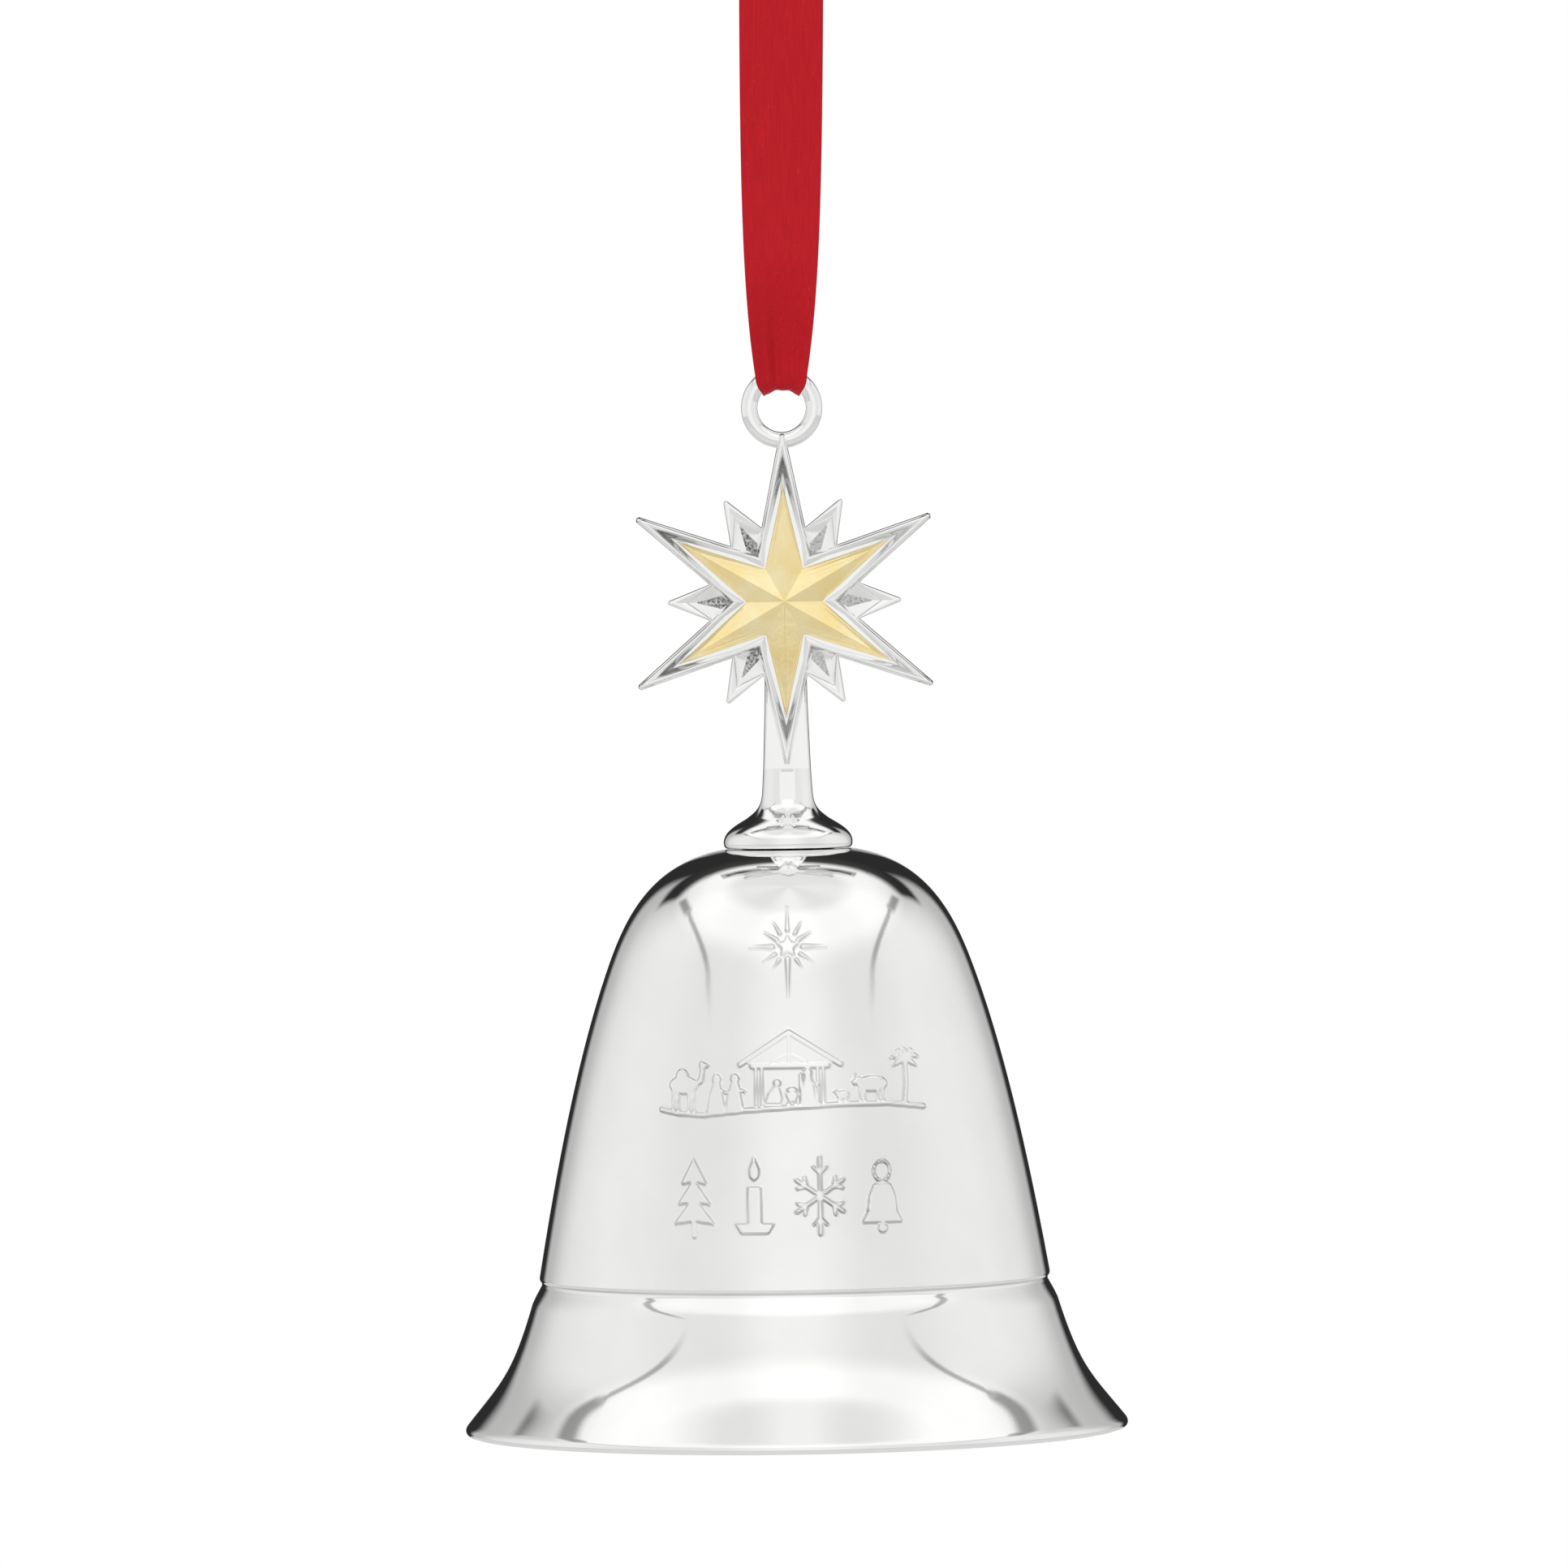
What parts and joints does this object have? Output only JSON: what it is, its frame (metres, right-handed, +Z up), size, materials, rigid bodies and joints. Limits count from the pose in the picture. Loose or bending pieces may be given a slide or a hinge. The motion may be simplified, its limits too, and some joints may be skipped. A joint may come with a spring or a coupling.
{
  "type": "hanging bell ornament",
  "caption": "Christmas bell ornament: a flared silver bell with a star handle and a ring, hung on a satin ribbon loop, with a swinging clapper inside",
  "frame": {"origin": "the inside top of the ribbon loop, where a hook or twig holds the ornament", "axes": "+Z is up, the ornament hangs down along -Z, the front of the star faces -Y and +X is to the right of a viewer in front"},
  "size_m": [0.0738, 0.0738, 0.1905],
  "materials": {
    "polished_silver_bell": "mirror-polished silver plate",
    "polished_silver_stem": "mirror-polished silver plate",
    "polished_silver_star": "polished silver plate with soft cast edges",
    "gold_plated_star": "bright pale gold plate on cut facets",
    "polished_silver_ring": "mirror-polished silver plate",
    "zinc_plated_washer": "satin zinc plate",
    "zinc_plated_nut": "satin zinc plate",
    "nickel_plated_bolt": "satin nickel plate",
    "nickel_plated_link": "satin nickel plate",
    "nickel_plated_rod": "satin nickel plate",
    "brass_clapper_ball": "turned brass, lightly polished",
    "red_satin_ribbon": "woven satin, soft sheen",
    "red_satin_knot": "woven satin, soft sheen"
  },
  "bodies": {
    "ribbon": {"ribbon_loop": "red_satin_ribbon", "ribbon_knot": "red_satin_knot"},
    "bell": {"bell_shell": "polished_silver_bell", "handle_stem": "polished_silver_stem", "star_frame": "polished_silver_star", "gold_star": "gold_plated_star", "hanging_ring": "polished_silver_ring", "crown_washer": "zinc_plated_washer", "hex_nut": "zinc_plated_nut", "eye_bolt": "nickel_plated_bolt"},
    "link": {"clapper_link": "nickel_plated_link"},
    "clapper": {"clapper_rod": "nickel_plated_rod", "clapper_ball": "brass_clapper_ball"}
  },
  "joints": [
    {"name": "bell_swing", "type": "hinge", "parent": "ribbon", "child": "bell", "pos_m": [0, 0, -0.064], "axis": [1, 0, 0], "range_deg": [-30, 30]},
    {"name": "link_swing", "type": "hinge", "parent": "bell", "child": "link", "pos_m": [0, 0, -0.12641], "axis": [1, 0, 0], "range_deg": [-26, 26]},
    {"name": "clapper_swing", "type": "hinge", "parent": "link", "child": "clapper", "pos_m": [0, 0, -0.12973], "axis": [0, 1, 0], "range_deg": [-10, 10]}
  ]
}
